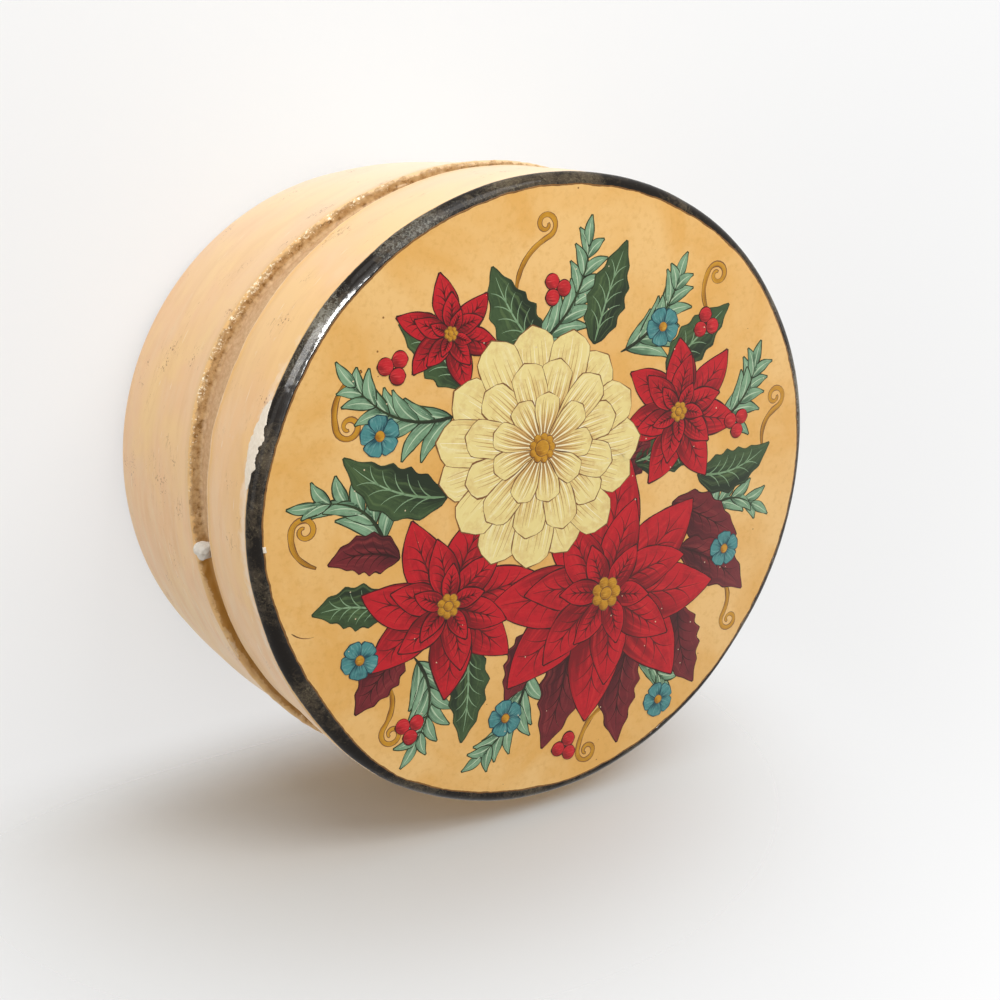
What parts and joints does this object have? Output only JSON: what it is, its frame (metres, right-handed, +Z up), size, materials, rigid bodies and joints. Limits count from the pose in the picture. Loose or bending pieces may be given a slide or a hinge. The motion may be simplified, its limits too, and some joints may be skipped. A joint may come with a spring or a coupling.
{
  "type": "trinket box",
  "caption": "Round lacquered papier-mache trinket box with a lift-off lid that slides over an inner neck ring.",
  "frame": {"origin": "middle of the box's footprint, on the surface it stands on", "axes": "+Z up through the lid, the way the lid lifts off; +X along the slightly longer way across the box"},
  "size_m": [0.101, 0.1018, 0.0628],
  "materials": {
    "body_paint": "brushed cream paint under satin lacquer",
    "lid_side_paint": "brushed cream paint under satin lacquer",
    "neck_paint": "matt tan paint with worn gold flecks",
    "lid_face_lacquer": "warm tan gloss lacquer with painted decoration and a black rim",
    "base_lacquer": "worn black lacquer"
  },
  "bodies": {
    "box": {"body_wall": "body_paint", "body_base": "base_lacquer", "neck_ring": "neck_paint"},
    "lid": {"lid_wall": "lid_side_paint", "lid_disc": "lid_face_lacquer"}
  },
  "joints": [
    {"name": "lid_lift", "type": "slide", "parent": "box", "child": "lid", "axis": [0, 0, 1], "range_m": [0, 0.045]}
  ]
}
